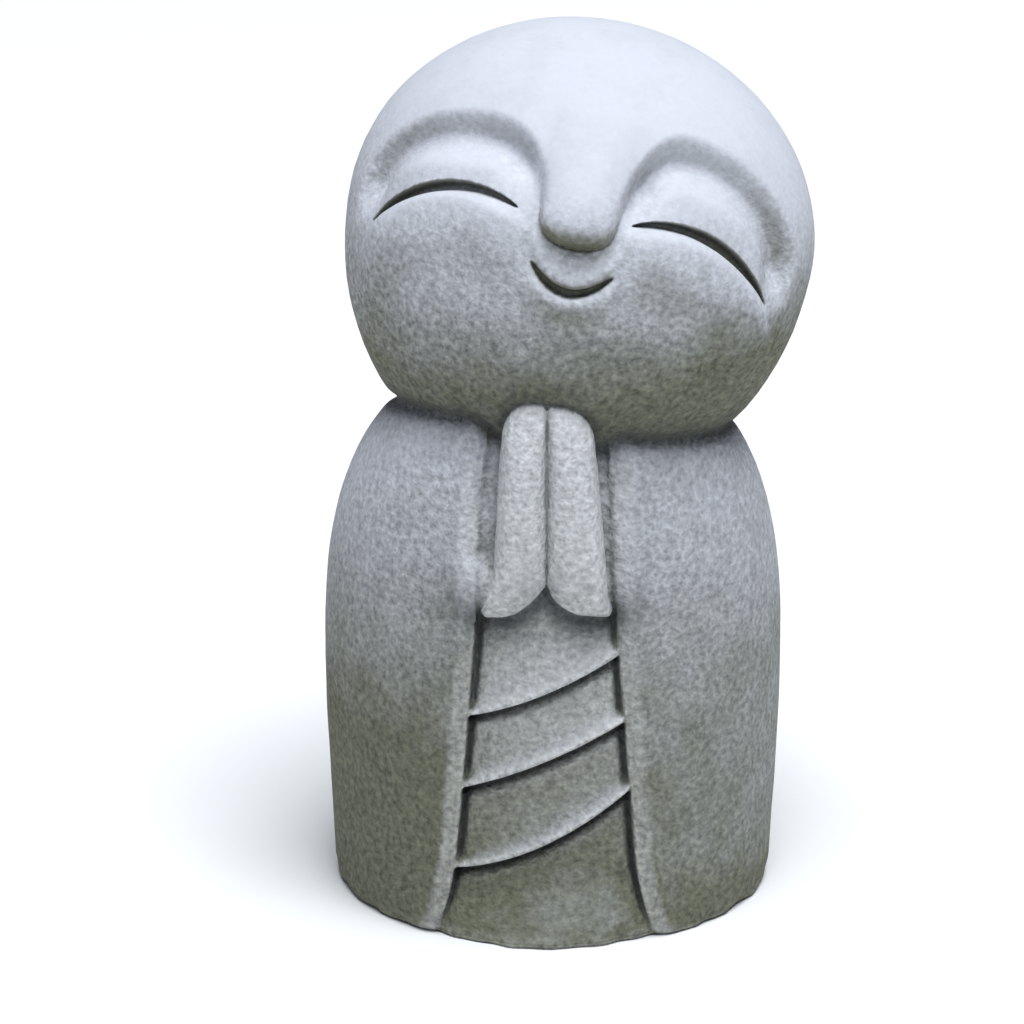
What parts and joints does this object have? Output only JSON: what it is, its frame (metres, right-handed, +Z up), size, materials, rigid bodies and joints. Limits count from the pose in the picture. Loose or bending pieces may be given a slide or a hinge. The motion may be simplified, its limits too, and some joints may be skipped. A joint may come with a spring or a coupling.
{
  "type": "jizo statue",
  "caption": "Small cast stone figure of a praying monk: round smiling head leaning to one side, hands together, folded robe, flat base.",
  "frame": {"origin": "middle of the flat underside", "axes": "+Z up through the head, -Y out of the robe's front, the way the face looks, +X to the side the head leans to"},
  "size_m": [0.045, 0.0418, 0.083],
  "materials": {
    "cast_stone": "matte, fine-grained, speckled grey, with dirt in the creases"
  },
  "bodies": {
    "root": {"jizo_figure": "cast_stone"}
  },
  "joints": []
}
